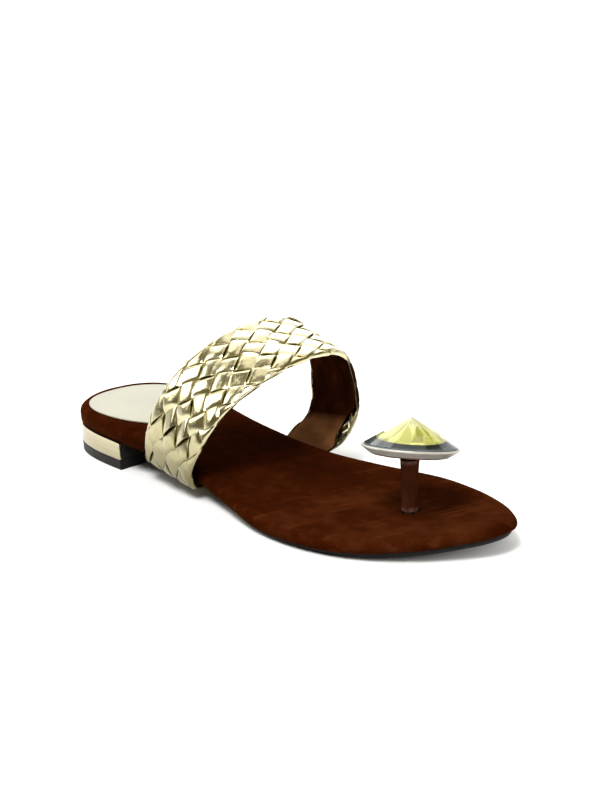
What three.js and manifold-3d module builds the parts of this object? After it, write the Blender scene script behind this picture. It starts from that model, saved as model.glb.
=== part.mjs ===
// A flat toe-post sandal for the right foot: suede footbed, black outsole, low gold heel,
// one braided strap over the instep and a toe post that carries a faceted stone.
// Millimetres. +X points to the toe, +Y to the inner side of the foot, +Z up, floor at Z = 0.

import * as THREE from 'three';
import { ConvexGeometry } from 'three/addons/geometries/ConvexGeometry.js';
import { mergeVertices } from 'three/addons/utils/BufferGeometryUtils.js';
import Module from 'manifold-3d';

const wasm = await Module();
wasm.setup();

// Driving sizes
const LENGTH = 250;
const FIT = 0.3;
const OUTSOLE = 2;
const LIFT = 4.8;
const BREAST = 55;
const PAST_BREAST = 3;
const HEEL_INSET = 0.1;
const BAND = 0.9;
const SOCK = 0.8;
const EDGE_ROUND = 2.4;
const ROUND_SHOULDER = 0.3 * EDGE_ROUND;
const EDGE_CHAMFER = 1;
const SIDE_SLOPE = 0.2;
const WORN_EDGE = 0.4;

// The sole, a row for each section from heel to toe: its inner and outer edges,
// the height of the footbed's top (seat) and of its underside (board).
const SOLE = [
  { x: 0, inner: 3, outer: 3, seat: 21.6, board: 13.4 },
  { x: 4, inner: 18.6, outer: -12, seat: 21.6, board: 13.4 },
  { x: 14, inner: 27.2, outer: -23.7, seat: 21.6, board: 13.4 },
  { x: 32, inner: 29.5, outer: -29.9, seat: 21.5, board: 13.4 },
  { x: 60, inner: 25.4, outer: -31.9, seat: 20.8, board: 12.6 },
  { x: 95, inner: 22.2, outer: -30.9, seat: 16.8, board: 9.4 },
  { x: 130, inner: 27.6, outer: -36.7, seat: 10.5, board: 4.6 },
  { x: 160, inner: 37.1, outer: -44.3, seat: 7.2, board: 2.2 },
  { x: 185, inner: 40.9, outer: -45.3, seat: 7.1, board: 2.2 },
  { x: 208, inner: 37.1, outer: -39.7, seat: 7.9, board: 2.7 },
  { x: 228, inner: 28.1, outer: -27.1, seat: 9.8, board: 4.6 },
  { x: 242, inner: 17.7, outer: -12.9, seat: 12, board: 6.9 },
  { x: 249, inner: 9.9, outer: -1.7, seat: 13.3, board: 8.4 },
  { x: 250, inner: 4.2, outer: 4.2, seat: 13.5, board: 8.6 },
];
const SOLE_STATIONS = 44;
const HEEL_STATIONS = 16;

// The outsole stands in from the footbed's edge, and further in where the strap's ends pass under.
const WELT = 2.4;
const TREAD_ROUND = 1;
const STRAP_NOTCH = 10;
const NOTCH_END = { inner: 128, outer: 118 };
const NOTCH_RAMP = 12;

// The heel pad's oval
const SOCK_OVAL = { x: 38.2, y: -0.3, halfLength: 32.2, halfWidth: 25.8, power: 2.3 };
const SOCK_STATIONS = 16;

// The strap's outer surface, a row for each fold from the outer turned-in end, over the
// instep, to the inner turned-in end: a point of its back edge and one of its front edge.
const STRAP = [
  { back: [76.5, -24, 8.8], front: [113, -26.5, 4.3] },
  { back: [75.6, -32.4, 9.3], front: [112.8, -35.2, 4.9] },
  { back: [76.3, -33.7, 14.5], front: [113.8, -38.4, 11] },
  { back: [80.2, -34.2, 27], front: [120.3, -39.9, 22] },
  { back: [90.6, -25.6, 49.9], front: [131, -28.2, 43.4] },
  { back: [98.6, 5.2, 66.6], front: [139.1, 2.6, 57.4] },
  { back: [100.2, 40.2, 62.2], front: [139.7, 30.6, 54.4] },
  { back: [98.3, 49.8, 38], front: [138.4, 39.4, 33] },
  { back: [98.3, 47, 16.6], front: [137, 39, 23.2] },
  { back: [98.5, 36.4, 10.6], front: [133.6, 33.2, 12.6] },
  { back: [98.8, 27.4, 6.4], front: [121, 29.4, 4.3] },
  { back: [99, 15, 6.3], front: [121, 18.4, 3.3] },
];
const STRIPS = 7;
const BRAID_ROWS = 30;
const STRIP_STEPS = 4;
const LINING_FACE = -1.9;
const STRIP_LOW = -0.4;
const STRIP_RISE = 0.9;
const STRIP_DROOP = 0.3;
const FLAT_ROWS = 2;
const OUTSIDE = -1;

// The toe post, a row for each section up its height: half its width along and across the shoe.
const POST_AT = { x: 203.9, y: -0.4 };
const POST = [
  { z: 2.8, along: 2.3, across: 2.3, lean: 0 },
  { z: 8.2, along: 2.3, across: 2.3, lean: 0 },
  { z: 8.4, along: 4, across: 4, lean: 0 },
  { z: 9.6, along: 3, across: 3.1, lean: 0 },
  { z: 18, along: 2.9, across: 3.1, lean: 0.2 },
  { z: 25, along: 3.1, across: 3.4, lean: 0.4 },
  { z: 29.2, along: 3.4, across: 3.7, lean: 0.7 },
];
const POST_SIDES = 16;
const POST_HOLE_BOTTOM = 0;
const POST_HOLE_TOP = 16;

// The stone and its cup, turned about a common axis that leans to the inner side of the foot.
const HEAD_AXIS = new THREE.Vector3(-0.08, 0.22, 1).normalize();
const HEAD_DEPTH = 3.4;
const CUP_SIDES = 36;
const CUP = [
  { radius: 0, z: -HEAD_DEPTH },
  { radius: 14.6, z: -HEAD_DEPTH },
  { radius: 15.8, z: -2.9 },
  { radius: 19.4, z: -0.3 },
  { radius: 19.4, z: 0.2 },
  { radius: 18.9, z: 0.5 },
  { radius: 18.6, z: 0.2 },
  { radius: 15, z: -2.4 },
  { radius: 0, z: -2.4 },
];
const STONE_APEX = 11.7;
const STONE = [
  { radius: 14.6, z: -2.1, points: 16, turn: 0 },
  { radius: 18.2, z: 0.5, points: 32, turn: 0.5 },
  { radius: 18.2, z: 1, points: 32, turn: 0.5 },
  { radius: 11.4, z: 5.4, points: 16, turn: 0 },
  { radius: 4.8, z: 9.2, points: 8, turn: 0.5 },
];

// The finish of each piece
const FINISH = {
  footbed: { color: 0x46200d, roughness: 0.95, metalness: 0 },
  outsole: { color: 0x17130f, roughness: 0.7, metalness: 0 },
  heel_block: { color: 0x15120f, roughness: 0.6, metalness: 0 },
  heel_band: { color: 0xe6d6a2, roughness: 0.2, metalness: 1 },
  top_lift: { color: 0x1b1a18, roughness: 0.7, metalness: 0 },
  heel_sock: { color: 0xe6dfc2, roughness: 0.5, metalness: 0 },
  strap: { color: 0xdcc886, roughness: 0.25, metalness: 1 },
  toe_post: { color: 0x3a1b10, roughness: 0.8, metalness: 0 },
  gem_setting: { color: 0xc9c4b4, roughness: 0.3, metalness: 1 },
  gem: { color: 0xe4e07c, roughness: 0.05, metalness: 0 },
};

// A smooth function through one column of a table, from the slopes between its neighbours.
function through(rows, knots, column) {
  const values = rows.map((row) => row[column]);
  const last = values.length - 1;
  const slopes = values.map((_, i) => {
    const before = Math.max(0, i - 1);
    const after = Math.min(last, i + 1);
    return (values[after] - values[before]) / (knots[after] - knots[before]);
  });
  return (knot) => {
    const i = Math.min(last - 1, Math.max(0, knots.findLastIndex((at) => at <= knot)));
    const span = knots[i + 1] - knots[i];
    const t = THREE.MathUtils.clamp((knot - knots[i]) / span, 0, 1);
    const rise = values[i + 1] - values[i];
    const blend = t * t * (3 - 2 * t);
    return values[i] + rise * blend + span * t * (1 - t) * (slopes[i] * (1 - t) - slopes[i + 1] * t);
  };
}

// The sole's sections are spaced by angle, close together at heel and toe, so both ends come out round.
const angleAt = (x) => Math.acos(1 - (2 * x) / LENGTH);
const SECTION_ANGLES = SOLE.map((row) => angleAt(row.x));
const SECTION_PLACES = SOLE.map((row) => row.x);
const innerEdge = through(SOLE, SECTION_ANGLES, 'inner');
const outerEdge = through(SOLE, SECTION_ANGLES, 'outer');
const seatAt = through(SOLE, SECTION_PLACES, 'seat');
const boardAt = through(SOLE, SECTION_PLACES, 'board');
const groundAt = (x) => Math.max(0, boardAt(x) - FIT - OUTSOLE);

// A point of the sole's outline: 0 at the heel, a half turn at the toe, outer side first.
function outlinePoint(turn) {
  const angle = THREE.MathUtils.euclideanModulo(turn, 2 * Math.PI);
  const x = (LENGTH / 2) * (1 - Math.cos(angle));
  const y = angle <= Math.PI ? outerEdge(angle) : innerEdge(2 * Math.PI - angle);
  return new THREE.Vector2(x, y);
}

// The same point moved in from the edge by a distance.
function insetPoint(turn, inset) {
  const nudge = 1e-3;
  const run = outlinePoint(turn + nudge).sub(outlinePoint(turn - nudge)).normalize();
  return outlinePoint(turn).add(new THREE.Vector2(-run.y, run.x).multiplyScalar(inset));
}

// Turns along the outline around one end, a reach to each side of it. Point k pairs with point count - k.
function turnsAround(end, reach, steps) {
  const one = Array.from({ length: steps + 1 }, (_, k) => end + (reach * k) / steps);
  const other = Array.from({ length: steps }, (_, k) => end - (reach * (steps - k)) / steps);
  return [...one, ...other];
}

const WHOLE_SOLE = turnsAround(0, Math.PI, SOLE_STATIONS).slice(0, 2 * SOLE_STATIONS);
// The heel's pieces and the outsole run past the breast line and are squared off on it.
const HEEL_PART = turnsAround(0, angleAt(BREAST + PAST_BREAST), HEEL_STATIONS);
const FRONT_PART = turnsAround(Math.PI, Math.PI - angleAt(BREAST - PAST_BREAST), SOLE_STATIONS);
const WHOLE_SPAN = [0, LENGTH];
const HEEL_SPAN = [0, BREAST];
const FRONT_SPAN = [BREAST + FIT, LENGTH];

// A geometry from points and triangles, turned outside out.
function geometryOf(points, faces) {
  const volume = faces.reduce((sum, [a, b, c]) => {
    return sum + points[a].dot(points[b].clone().cross(points[c]));
  }, 0);
  const index = faces.flatMap(([a, b, c]) => (volume > 0 ? [a, b, c] : [a, c, b]));
  const geometry = new THREE.BufferGeometry();
  geometry.setAttribute('position', new THREE.Float32BufferAttribute(points.flatMap((p) => p.toArray()), 3));
  geometry.setIndex(index);
  return geometry;
}

// Triangles across a loop whose point k lies opposite point count - k.
function pairedCap(count) {
  const faces = [[0, 1, count - 1]];
  for (let k = 1; k + 1 <= count - k - 1; k += 1) {
    faces.push([k, k + 1, count - k]);
    if (k + 1 < count - k - 1) {
      faces.push([k + 1, count - k - 1, count - k]);
    }
  }
  return faces;
}

// Triangles of a round or four-cornered cap, fanned from its first point.
function fanCap(count) {
  return Array.from({ length: count - 2 }, (_, k) => [0, k + 1, k + 2]);
}

// A closed skin over loops of equal length, capped at both ends.
function skin(loops, cap) {
  const count = loops[0].length;
  const faces = [];
  for (let ring = 0; ring + 1 < loops.length; ring += 1) {
    for (let k = 0; k < count; k += 1) {
      const here = ring * count + k;
      const next = ring * count + ((k + 1) % count);
      faces.push([here, next, next + count], [here, next + count, here + count]);
    }
  }
  const top = (loops.length - 1) * count;
  for (const [a, b, c] of cap(count)) {
    faces.push([a, c, b], [top + a, top + b, top + c]);
  }
  return geometryOf(loops.flat(), faces);
}

// A slab over part of the sole's outline. Each level has an inset from the edge and a height.
function soleSlab(turns, [start, end], levels) {
  const loops = levels.map(({ inset, height }) => turns.map((turn) => {
    const distance = typeof inset === 'function' ? inset(turn) : inset;
    const { x, y } = insetPoint(turn, distance);
    const squared = THREE.MathUtils.clamp(x, start, end);
    return new THREE.Vector3(squared, y, height(squared));
  }));
  return skin(loops, pairedCap);
}

function footbedGeometry() {
  return soleSlab(WHOLE_SOLE, WHOLE_SPAN, [
    { inset: EDGE_CHAMFER, height: boardAt },
    { inset: SIDE_SLOPE, height: (x) => boardAt(x) + EDGE_CHAMFER },
    { inset: 0, height: (x) => seatAt(x) - EDGE_ROUND },
    { inset: ROUND_SHOULDER, height: (x) => seatAt(x) - ROUND_SHOULDER },
    { inset: EDGE_ROUND, height: seatAt },
  ]);
}

// How far the outsole stands in: the notch for the strap's end, then a ramp out to the plain edge.
function outsoleInset(turn) {
  const angle = THREE.MathUtils.euclideanModulo(turn, 2 * Math.PI);
  const { x } = outlinePoint(angle);
  const end = angle <= Math.PI ? NOTCH_END.outer : NOTCH_END.inner;
  const ramp = THREE.MathUtils.smoothstep(x, end, end + NOTCH_RAMP);
  return THREE.MathUtils.lerp(STRAP_NOTCH, WELT, ramp);
}

function outsoleGeometry() {
  return soleSlab(FRONT_PART, FRONT_SPAN, [
    { inset: (turn) => outsoleInset(turn) + TREAD_ROUND, height: groundAt },
    { inset: outsoleInset, height: (x) => groundAt(x) + TREAD_ROUND },
    { inset: outsoleInset, height: (x) => boardAt(x) - FIT },
  ]);
}

function heelBlockGeometry() {
  const inset = HEEL_INSET + BAND + FIT;
  return soleSlab(HEEL_PART, HEEL_SPAN, [
    { inset, height: () => LIFT },
    { inset, height: (x) => boardAt(x) - FIT },
  ]);
}

function topLiftGeometry() {
  return soleSlab(HEEL_PART, HEEL_SPAN, [
    { inset: HEEL_INSET + WORN_EDGE, height: () => 0 },
    { inset: HEEL_INSET, height: () => WORN_EDGE },
    { inset: HEEL_INSET, height: () => LIFT - FIT },
  ]);
}

// The gold shell: a flat section carried around the heel from one end of the breast to the other.
function heelBandGeometry() {
  const reach = angleAt(BREAST + PAST_BREAST);
  const sections = Array.from({ length: 2 * HEEL_STATIONS + 1 }, (_, k) => {
    const turn = reach * (k / HEEL_STATIONS - 1);
    const corner = (inset, height) => {
      const { x, y } = insetPoint(turn, inset);
      const squared = Math.min(x, BREAST);
      return new THREE.Vector3(squared, y, height(squared));
    };
    const foot = () => LIFT;
    const top = (x) => boardAt(x) - FIT;
    const inside = HEEL_INSET + BAND;
    return [corner(HEEL_INSET, foot), corner(HEEL_INSET, top), corner(inside, top), corner(inside, foot)];
  });
  return skin(sections, fanCap);
}

function heelSockGeometry() {
  const { x: middle, y: side, halfLength, halfWidth, power } = SOCK_OVAL;
  const round = (value) => Math.sign(value) * Math.abs(value) ** (2 / power);
  const levels = [
    { inset: 0, lift: FIT },
    { inset: 0, lift: FIT + SOCK / 2 },
    { inset: SOCK / 2, lift: FIT + SOCK },
  ];
  const loops = levels.map(({ inset, lift }) => Array.from({ length: 2 * SOCK_STATIONS }, (_, k) => {
    const turn = (Math.PI * k) / SOCK_STATIONS;
    const x = middle - (halfLength - inset) * round(Math.cos(turn));
    const y = side - (halfWidth - inset) * round(Math.sin(turn));
    return new THREE.Vector3(x, y, seatAt(x) + lift);
  }));
  return skin(loops, pairedCap);
}

const strapEdge = (side) => new THREE.CatmullRomCurve3(STRAP.map((row) => new THREE.Vector3(...row[side])));
const STRAP_BACK = strapEdge('back');
const STRAP_FRONT = strapEdge('front');

// A point of the strap, u strips from its back edge and v rows from its outer end, off its surface.
function strapPoint(u, v, height) {
  const surface = (row) => {
    const share = THREE.MathUtils.clamp(row / BRAID_ROWS, 0, 1);
    return STRAP_BACK.getPointAt(share).lerp(STRAP_FRONT.getPointAt(share), u / STRIPS);
  };
  const nudge = 0.05;
  const along = surface(v + nudge).sub(surface(v - nudge));
  const share = v / BRAID_ROWS;
  const across = STRAP_FRONT.getPointAt(share).sub(STRAP_BACK.getPointAt(share));
  return surface(v).addScaledVector(across.cross(along).normalize(), height);
}

// How high a strip stands where it passes over: arched along its run, a little lower at its two edges,
// and pressed flat where the strap's ends are turned in.
function stripHeight(along, across, v) {
  const end = Math.min(v, BRAID_ROWS - v);
  const arch = (1 - along * along) * (1 - STRIP_DROOP * across * across);
  return STRIP_LOW + STRIP_RISE * arch * THREE.MathUtils.smoothstep(end, 0, FLAT_ROWS);
}

// The braided wall. Strips run on both diagonals and pass over each other in turn, so each diamond of
// the band shows one strip, column by column of the other slant, with a step down at its long edges.
function strapGeometry() {
  const points = [];
  const faces = [];
  const known = new Map();
  const keyOf = (...numbers) => numbers.map((n) => n.toFixed(4)).join(':');
  const vertex = (u, v, height) => {
    const key = keyOf(u, v, height);
    if (!known.has(key)) {
      known.set(key, points.length);
      points.push({ u, v, at: strapPoint(u, v, height) });
    }
    return known.get(key);
  };
  const place = (i) => keyOf(points[i].u, points[i].v);

  // The diamonds and half diamonds, each a patch of its own
  const rims = new Map();
  for (let column = 0; column <= STRIPS; column += 1) {
    for (let row = (column + 1) % 2; row <= BRAID_ROWS; row += 2) {
      const corner = (a, b) => {
        const s = (2 * a) / STRIP_STEPS - 1;
        const t = (2 * b) / STRIP_STEPS - 1;
        const u = column + (s + t) / 2;
        const v = row + (s - t) / 2;
        if (u < 0 || u > STRIPS || v < 0 || v > BRAID_ROWS) {
          return OUTSIDE;
        }
        const [along, across] = column % 2 ? [s, t] : [t, s];
        return vertex(u, v, stripHeight(along, across, v));
      };
      const patch = [];
      for (let a = 0; a < STRIP_STEPS; a += 1) {
        for (let b = 0; b < STRIP_STEPS; b += 1) {
          const low = corner(a, b);
          const left = corner(a, b + 1);
          const high = corner(a + 1, b + 1);
          const right = corner(a + 1, b);
          const pair = [[low, left, high], [low, high, right]];
          if (a + b + 1 === STRIP_STEPS) {
            pair.splice(0, 2, [low, left, right], [left, high, right]);
          }
          patch.push(...pair.filter((face) => !face.includes(OUTSIDE)));
        }
      }
      faces.push(...patch);
      const edges = new Set(patch.flatMap(([a, b, c]) => [`${a} ${b}`, `${b} ${c}`, `${c} ${a}`]));
      for (const edge of edges) {
        const [from, to] = edge.split(' ').map(Number);
        if (!edges.has(`${to} ${from}`)) {
          rims.set(`${place(from)} ${place(to)}`, [from, to]);
        }
      }
    }
  }

  // Steps between neighbouring diamonds, and the strap's own edges down to the lining
  const lining = (u, v) => vertex(u, v, LINING_FACE);
  for (const [key, [from, to]] of rims) {
    const [start, end] = key.split(' ');
    const mate = rims.get(`${end} ${start}`);
    const below = mate ? [mate[1], mate[0]] : [from, to].map((i) => lining(points[i].u, points[i].v));
    if (mate && start > end) {
      continue;
    }
    if (from !== below[0]) {
      faces.push([to, from, below[0]]);
    }
    if (to !== below[1]) {
      faces.push([to, below[0], below[1]]);
    }
  }

  // The lining's smooth face
  const step = 2 / STRIP_STEPS;
  for (let u = 0; u < STRIPS; u += step) {
    for (let v = 0; v < BRAID_ROWS; v += step) {
      const here = lining(u, v);
      const far = lining(u + step, v + step);
      faces.push([here, far, lining(u + step, v)], [here, lining(u, v + step), far]);
    }
  }
  return geometryOf(points.map((point) => point.at), faces);
}

// A round column up the post's line, from rows of half widths.
function columnGeometry(rows, clearance) {
  const loops = rows.map(({ z, along, across, lean }) => Array.from({ length: POST_SIDES }, (_, k) => {
    const turn = (2 * Math.PI * k) / POST_SIDES;
    const x = POST_AT.x + (along + clearance) * Math.cos(turn);
    const y = POST_AT.y + lean + (across + clearance) * Math.sin(turn);
    return new THREE.Vector3(x, y, z);
  }));
  return skin(loops, fanCap);
}

function postHoleGeometry() {
  const rows = [POST_HOLE_BOTTOM, POST_HOLE_TOP].map((z) => ({ ...POST[0], z }));
  return columnGeometry(rows, FIT);
}

function solidOf(geometry) {
  const merged = mergeVertices(geometry);
  return new wasm.Manifold(new wasm.Mesh({
    numProp: 3,
    vertProperties: merged.getAttribute('position').array,
    triVerts: Uint32Array.from(merged.index.array),
  }));
}

function cut(body, tool) {
  const { vertProperties, triVerts } = solidOf(body).subtract(solidOf(tool)).getMesh();
  const geometry = new THREE.BufferGeometry();
  geometry.setAttribute('position', new THREE.BufferAttribute(vertProperties, 3));
  geometry.setIndex(new THREE.BufferAttribute(triVerts, 1));
  return geometry;
}

function cupGeometry() {
  const profile = CUP.map(({ radius, z }) => new THREE.Vector2(radius, z));
  return new THREE.LatheGeometry(profile, CUP_SIDES).rotateX(Math.PI / 2);
}

function stoneGeometry() {
  const corners = STONE.flatMap(({ radius, z, points, turn }) => Array.from({ length: points }, (_, k) => {
    const angle = (2 * Math.PI * (k + turn)) / points;
    return new THREE.Vector3(radius * Math.cos(angle), radius * Math.sin(angle), z);
  }));
  return new ConvexGeometry([...corners, new THREE.Vector3(0, 0, STONE_APEX)]);
}

function piece(name, geometry) {
  const shaded = geometry.index ? geometry.toNonIndexed() : geometry;
  shaded.computeVertexNormals();
  const mesh = new THREE.Mesh(shaded, new THREE.MeshStandardMaterial(FINISH[name]));
  mesh.name = name;
  return mesh;
}

// The stone in its cup, seated on the end of the post.
function head() {
  const group = new THREE.Group();
  const top = POST[POST.length - 1];
  const seat = new THREE.Vector3(POST_AT.x, POST_AT.y + top.lean, top.z);
  const rise = top.across * Math.hypot(HEAD_AXIS.x, HEAD_AXIS.y) + FIT + HEAD_DEPTH;
  group.position.copy(seat).addScaledVector(HEAD_AXIS, rise);
  group.quaternion.setFromUnitVectors(new THREE.Vector3(0, 0, 1), HEAD_AXIS);
  group.add(piece('gem_setting', cupGeometry()));
  group.add(piece('gem', stoneGeometry()));
  return group;
}

function sandal() {
  const assembly = new THREE.Group();
  assembly.add(piece('footbed', cut(footbedGeometry(), postHoleGeometry())));
  assembly.add(piece('outsole', outsoleGeometry()));
  assembly.add(piece('heel_block', heelBlockGeometry()));
  assembly.add(piece('heel_band', heelBandGeometry()));
  assembly.add(piece('top_lift', topLiftGeometry()));
  assembly.add(piece('heel_sock', heelSockGeometry()));
  assembly.add(piece('strap', strapGeometry()));
  assembly.add(piece('toe_post', columnGeometry(POST, 0)));
  assembly.add(head());

  // The origin lies on the floor under the middle of the whole sandal.
  const middle = new THREE.Box3().setFromObject(assembly, true).getCenter(new THREE.Vector3());
  assembly.position.set(-middle.x, -middle.y, 0);
  const model = new THREE.Group();
  model.add(assembly);
  return model;
}

export default sandal();
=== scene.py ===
"""The looks of a flat toe-post sandal for the right foot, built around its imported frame.

Laid out as an add-on: an operator makes each piece, and a run of the script makes them all.
Metres. +X points to the toe, +Y to the inner side of the foot, +Z up, floor at Z = 0.
"""

import math
import random
from contextlib import contextmanager

import bpy
from mathutils import Matrix, Vector


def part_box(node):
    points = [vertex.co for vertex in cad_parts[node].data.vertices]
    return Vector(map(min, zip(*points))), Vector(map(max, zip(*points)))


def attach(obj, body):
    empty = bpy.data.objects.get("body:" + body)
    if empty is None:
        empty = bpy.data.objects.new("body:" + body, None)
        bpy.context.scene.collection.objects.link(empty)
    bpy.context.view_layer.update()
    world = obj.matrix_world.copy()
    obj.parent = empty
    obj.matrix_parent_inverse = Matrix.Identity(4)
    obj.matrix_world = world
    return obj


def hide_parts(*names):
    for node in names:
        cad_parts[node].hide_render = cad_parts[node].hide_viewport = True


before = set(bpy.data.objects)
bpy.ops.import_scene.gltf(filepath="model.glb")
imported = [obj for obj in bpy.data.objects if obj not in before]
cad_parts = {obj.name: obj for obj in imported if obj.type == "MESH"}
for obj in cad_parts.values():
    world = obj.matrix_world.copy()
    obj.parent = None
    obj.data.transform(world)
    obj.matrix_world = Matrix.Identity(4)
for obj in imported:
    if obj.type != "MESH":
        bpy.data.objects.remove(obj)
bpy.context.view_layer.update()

bl_info = {
    "name": "Toe-Post Sandal",
    "version": (1, 0, 0),
    "blender": (4, 5, 0),
    "location": "View3D > Sidebar > Sandal",
    "description": "Dresses the packed frame of a flat braided toe-post sandal",
    "category": "Object",
}

MM = 0.001

# The frame's own places: the back of the heel, the middle of the heel pad, and the shoe's centre line
HEEL_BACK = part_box("footbed")[0].x
PAD_LOW, PAD_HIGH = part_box("heel_sock")
PAD_MIDDLE = (PAD_LOW + PAD_HIGH) / 2
PAD_OFF_LINE = -0.3 * MM
CENTRE_LINE = PAD_MIDDLE.y - PAD_OFF_LINE
CUP_LOW, CUP_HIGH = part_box("gem_setting")

# The strap's outer surface in millimetres from the heel's back, the centre line and the floor:
# a row for each fold from the outer turned-in end, over the instep, to the inner one.
STRAP = [
    {"back": (76.5, -24, 8.8), "front": (113, -26.5, 4.3)},
    {"back": (75.6, -32.4, 9.3), "front": (112.8, -35.2, 4.9)},
    {"back": (76.3, -33.7, 14.5), "front": (113.8, -38.4, 11)},
    {"back": (80.2, -34.2, 27), "front": (120.3, -39.9, 22)},
    {"back": (90.6, -25.6, 49.9), "front": (131, -28.2, 43.4)},
    {"back": (98.6, 5.2, 66.6), "front": (139.1, 2.6, 57.4)},
    {"back": (100.2, 40.2, 62.2), "front": (139.7, 30.6, 54.4)},
    {"back": (98.3, 49.8, 38), "front": (138.4, 39.4, 33)},
    {"back": (98.3, 47, 16.6), "front": (137, 39, 23.2)},
    {"back": (98.5, 36.4, 10.6), "front": (133.6, 33.2, 12.6)},
    {"back": (98.8, 27.4, 6.4), "front": (121, 29.4, 4.3)},
    {"back": (99, 15, 6.3), "front": (121, 18.4, 3.3)},
]
# How much of each edge's length the braid covers before its strips are hidden under the footbed
BACK_REACH = 1.0
FRONT_REACH = 0.966
STRAP_SAMPLES = 600

# A strip's cross-section: places over its half width, and how far its top lies below the crown
STRIP_PROFILE = [
    (-1.0, 0.13), (-0.97, 0.10), (-0.85, 0.06), (-0.66, 0.03), (-0.44, 0.01), (-0.22, 0.0), (0.0, 0.0),
    (0.22, 0.0), (0.44, 0.01), (0.66, 0.03), (0.85, 0.06), (0.97, 0.10), (1.0, 0.13),
]
STRIP_BELLY = [0.97, 0.44, -0.44, -0.97]
# From this row on the strips are foiled underneath too, where their turned-in ends show
FOILED_ROWS = 22
STRIP_STEPS = 18
STRIP_TUCK = 1.2
STRIP_CURVE = 3.6
STRIP_DIVE = -0.12
# Where the braid's rows lie along the strap, in rows: those below the outer shoulder are drawn longer
ROW_SHIFT = 0.35
LONG_ROWS = 5
ROW_STRETCH = 0.41
# How much more the strips of those long rows are tipped, being looser
LOOSE_TILT = 1.8
# The braid is pressed flat over this many rows at each end
FLAT_ROWS = 2
# How far round the strap's two edges its leather is turned under, in radians
FOLD_TURN = 2.5
# The braid is pressed down over this many columns at those edges, and keeps this share of its relief
EDGE_SOFT = 0.6
EDGE_RELIEF = 0.3

# The leaning axis that the stone and its cup are turned about
HEAD_AXIS = Vector((-0.08, 0.22, 1)).normalized()
HEAD_MIDDLE = Vector(((CUP_LOW.x + CUP_HIGH.x) / 2, (CUP_LOW.y + CUP_HIGH.y) / 2, 33.62 * MM))


def length(label, words, default):
    """A length, given here in millimetres."""
    return bpy.props.FloatProperty(
        name=label, description=words, default=default * MM, unit="LENGTH", precision=5,
    )


def fraction(label, words, default, low):
    """A share of something, up to the whole."""
    return bpy.props.FloatProperty(
        name=label, description=words, default=default, subtype="FACTOR", min=low, max=1,
    )


class SandalSizes(bpy.types.PropertyGroup):
    """Sizes of the dressed pieces that a user would change."""

    suede_grid: length("Suede grid", "Spacing of the footbed's fine mesh", 0.85)
    suede_softness: bpy.props.IntProperty(
        name="Suede softness", description="Rounds of smoothing on the footbed's wrapped edge",
        default=22, min=0,
    )
    pad_thickness: length("Pad thickness", "Thickness of the heel pad's leather", 0.5)
    pad_trim: length("Pad trim", "Suede left bare behind the heel pad, beyond the frame's own", 2.0)
    strips: bpy.props.FloatProperty(
        name="Strips", description="Strip widths across the braided strap", default=7.37, min=3,
    )
    first_strip: fraction(
        "First strip", "Share of a strip's width that the strap's back edge turns under", 0.42, 0)
    rows: bpy.props.FloatProperty(
        name="Rows", description="Half crossings along the braided strap", default=29.13, min=6,
    )
    strip_thickness: length("Strip thickness", "Thickness of one leather strip", 0.6)
    strip_low: length("Strip low", "Height of a strip where it goes under, off the strap's surface", -0.32)
    strip_rise: length("Strip rise", "How much higher a strip stands where it passes over", 0.82)
    strip_fill: fraction("Strip fill", "Share of the braid's spacing that a strip is wide", 0.985, 0.5)
    strip_tilt: length("Strip tilt", "How far hand work tips a strip's edges up or down", 0.45)
    fold_radius: length("Fold radius", "Radius of the fold at the strap's two edges", 1.3)
    lining_face: length("Lining face", "Place of the lining's inner face, off the strap's surface", -2.0)
    lining_thickness: length("Lining thickness", "Thickness of the strap's lining", 0.5)
    worn_edge: length("Worn edge", "Rounding of the sole's and heel's edges", 0.25)


def colour(label, words, default):
    """A colour that the sidebar shows with a swatch."""
    return bpy.props.FloatVectorProperty(
        name=label, description=words, default=(*default, 1.0), size=4, subtype="COLOR", min=0, max=1,
    )


class SandalColours(bpy.types.PropertyGroup):
    """Colours of the finishes."""

    # The dark and light suede tones also carry painted shade from the heel to mid-foot, and painted light
    # towards the toe and at the heel's back
    suede_dark_nap_and_painted_shade: colour("Suede, dark", "Suede with its nap laid away", (0.0145, 0.0025, 0.0005))
    suede: colour("Suede", "Suede at its plain tone", (0.0255, 0.0043, 0.0008))
    suede_light_nap_and_painted_light: colour("Suede, light", "Suede where the nap is brushed up", (0.050, 0.0120, 0.0032))
    gold: colour("Gold leather", "Foil of the braided strips", (0.78, 0.73, 0.49))
    gold_worn: colour("Gold leather, worn", "Foil where it is rubbed", (0.64, 0.57, 0.33))
    raw_edge: colour("Raw edge", "Cut sides of the strips", (0.27, 0.235, 0.09))
    band: colour("Heel band", "Plated shell of the heel", (0.50, 0.45, 0.30))
    pad: colour("Heel pad", "Cream leather of the heel pad", (0.322, 0.313, 0.25))
    black: colour("Black", "Outsole, heel and top lift", (0.0055, 0.0048, 0.0045))
    lining: colour("Lining", "Leather inside the strap", (0.021, 0.0049, 0.0013))
    # Paler lining below the inner bend: partly a paler leather, partly painted light where it faces up
    lining_pale_and_painted_light: colour(
        "Lining, rubbed", "Lining where the strap bends in under the foot", (0.165, 0.068, 0.026))
    post: colour("Toe post", "Leather of the toe post", (0.064, 0.0175, 0.0070))
    cup: colour("Cup", "Plated cup of the stone", (0.50, 0.48, 0.42))
    stone: colour("Stone", "Lemon heart of the stone", (0.90, 0.89, 0.26))
    stone_back: colour(
        "Stone back", "Steel-grey foil behind the clear rim of the stone", (0.10, 0.124, 0.137))


def angle(label, words, default):
    """An angle, given here in degrees."""
    return bpy.props.FloatProperty(
        name=label, description=words, default=math.radians(default), subtype="ANGLE",
    )


def power(label, words, default):
    """A lamp's power in watts."""
    return bpy.props.FloatProperty(name=label, description=words, default=default, unit="POWER")


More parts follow.
